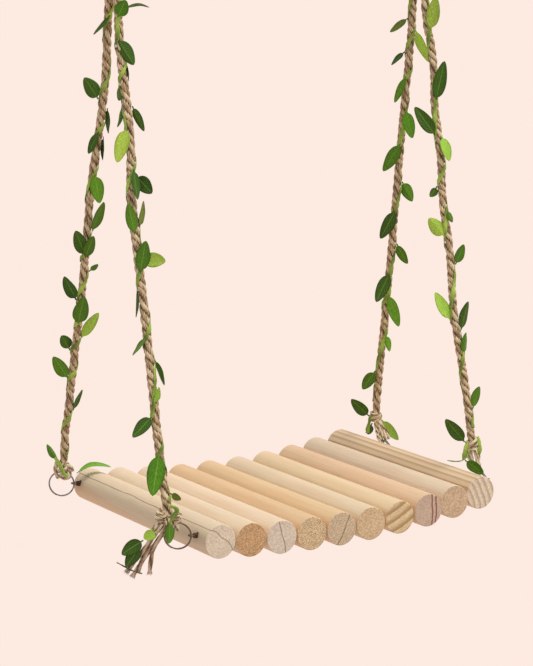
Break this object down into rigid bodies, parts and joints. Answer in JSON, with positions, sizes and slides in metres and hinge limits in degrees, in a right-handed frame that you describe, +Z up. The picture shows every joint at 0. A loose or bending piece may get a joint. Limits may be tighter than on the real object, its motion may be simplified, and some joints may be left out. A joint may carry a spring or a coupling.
{
  "type": "dowel seat swing",
  "caption": "Small swing with a seat of round wooden dowels strung on wires, hung at its corners by jute ropes with leaf vines, from a knot and a metal ring on each side.",
  "frame": {"origin": "midway between the two hanging rings, on the line through the bottoms of both rings that the swing hangs and swings from", "axes": "+X along that line across the row of dowels, -Y to the front and along each dowel, +Z up"},
  "size_m": [0.4553, 0.2942, 0.6734],
  "materials": {
    "pine": "raw sanded",
    "jute": "natural twisted fibre",
    "wire": "dull",
    "ring_steel": "satin",
    "vine": "matt",
    "leaf": "satin cloth"
  },
  "bodies": {
    "hanging_rings": {"hanging_ring_left": "ring_steel", "hanging_ring_right": "ring_steel"},
    "left_hanger": {"top_loop_left": "jute", "top_knot_left": "jute"},
    "right_hanger": {"top_loop_right": "jute", "top_knot_right": "jute"},
    "left_bridle": {"rope_left_front": "jute", "vine_left_front": "vine", "leaves_left_front": "leaf", "corner_knot_left_front": "jute", "corner_ring_left_front": "wire", "rope_left_rear": "jute", "vine_left_rear": "vine", "leaves_left_rear": "leaf", "corner_knot_left_rear": "jute", "corner_ring_left_rear": "wire", "tail_strand_1": "jute", "tail_strand_2": "jute", "tail_strand_3": "jute", "tail_strand_4": "jute", "tail_leaves": "leaf"},
    "right_bridle": {"rope_right_front": "jute", "vine_right_front": "vine", "leaves_right_front": "leaf", "corner_knot_right_front": "jute", "corner_ring_right_front": "wire", "rope_right_rear": "jute", "vine_right_rear": "vine", "leaves_right_rear": "leaf", "corner_knot_right_rear": "jute", "corner_ring_right_rear": "wire", "corner_loop_right_front": "jute", "corner_loop_right_rear": "jute", "vine_tendril": "vine"},
    "seat": {"dowel_01": "pine", "dowel_10": "pine", "binding_wire_front": "wire", "binding_wire_rear": "wire"},
    "dowel_02_body": {"dowel_02": "pine"},
    "dowel_03_body": {"dowel_03": "pine"},
    "dowel_04_body": {"dowel_04": "pine"},
    "dowel_05_body": {"dowel_05": "pine"},
    "dowel_06_body": {"dowel_06": "pine"},
    "dowel_07_body": {"dowel_07": "pine"},
    "dowel_08_body": {"dowel_08": "pine"},
    "dowel_09_body": {"dowel_09": "pine"}
  },
  "joints": [
    {"name": "swing", "type": "hinge", "parent": "hanging_rings", "child": "left_hanger", "pos_m": [-0.18523, 0, 0], "axis": [1, 0, 0], "range_deg": [-40, 40]},
    {"name": "right_swing", "type": "hinge", "parent": "hanging_rings", "child": "right_hanger", "pos_m": [0.18523, 0, 0], "axis": [1, 0, 0], "range_deg": [-40, 40]},
    {"name": "sway", "type": "hinge", "parent": "left_hanger", "child": "left_bridle", "pos_m": [-0.18523, 0, -0.045], "axis": [0, 1, 0], "range_deg": [-8, 8]},
    {"name": "seat_level", "type": "hinge", "parent": "left_bridle", "child": "seat", "pos_m": [-0.18523, 0, -0.58382], "axis": [0, 1, 0], "range_deg": [-8, 8]},
    {"name": "right_sway", "type": "hinge", "parent": "seat", "child": "right_bridle", "pos_m": [0.18523, 0, -0.58382], "axis": [0, 1, 0], "range_deg": [-8, 8]},
    {"name": "seat_flex", "type": "slide", "parent": "seat", "child": "dowel_05_body", "axis": [0, 0, 1], "range_m": [0, 0.0195], "deforming": ["binding_wire_front", "binding_wire_rear"]},
    {"name": "flex_02", "type": "slide", "parent": "seat", "child": "dowel_02_body", "axis": [0, 0, 1], "range_m": [0, 0.0078]},
    {"name": "flex_03", "type": "slide", "parent": "seat", "child": "dowel_03_body", "axis": [0, 0, 1], "range_m": [0, 0.01365]},
    {"name": "flex_04", "type": "slide", "parent": "seat", "child": "dowel_04_body", "axis": [0, 0, 1], "range_m": [0, 0.01755]},
    {"name": "flex_06", "type": "slide", "parent": "seat", "child": "dowel_06_body", "axis": [0, 0, 1], "range_m": [0, 0.0195]},
    {"name": "flex_07", "type": "slide", "parent": "seat", "child": "dowel_07_body", "axis": [0, 0, 1], "range_m": [0, 0.01755]},
    {"name": "flex_08", "type": "slide", "parent": "seat", "child": "dowel_08_body", "axis": [0, 0, 1], "range_m": [0, 0.01365]},
    {"name": "flex_09", "type": "slide", "parent": "seat", "child": "dowel_09_body", "axis": [0, 0, 1], "range_m": [0, 0.0078]}
  ],
  "couplings": [
    {"joint": "right_swing", "follows": "swing", "ratio": 1},
    {"joint": "seat_level", "follows": "sway", "ratio": -1},
    {"joint": "right_sway", "follows": "sway", "ratio": 1},
    {"joint": "flex_02", "follows": "seat_flex", "ratio": 0.4},
    {"joint": "flex_03", "follows": "seat_flex", "ratio": 0.7},
    {"joint": "flex_04", "follows": "seat_flex", "ratio": 0.9},
    {"joint": "flex_06", "follows": "seat_flex", "ratio": 1},
    {"joint": "flex_07", "follows": "seat_flex", "ratio": 0.9},
    {"joint": "flex_08", "follows": "seat_flex", "ratio": 0.7},
    {"joint": "flex_09", "follows": "seat_flex", "ratio": 0.4}
  ]
}
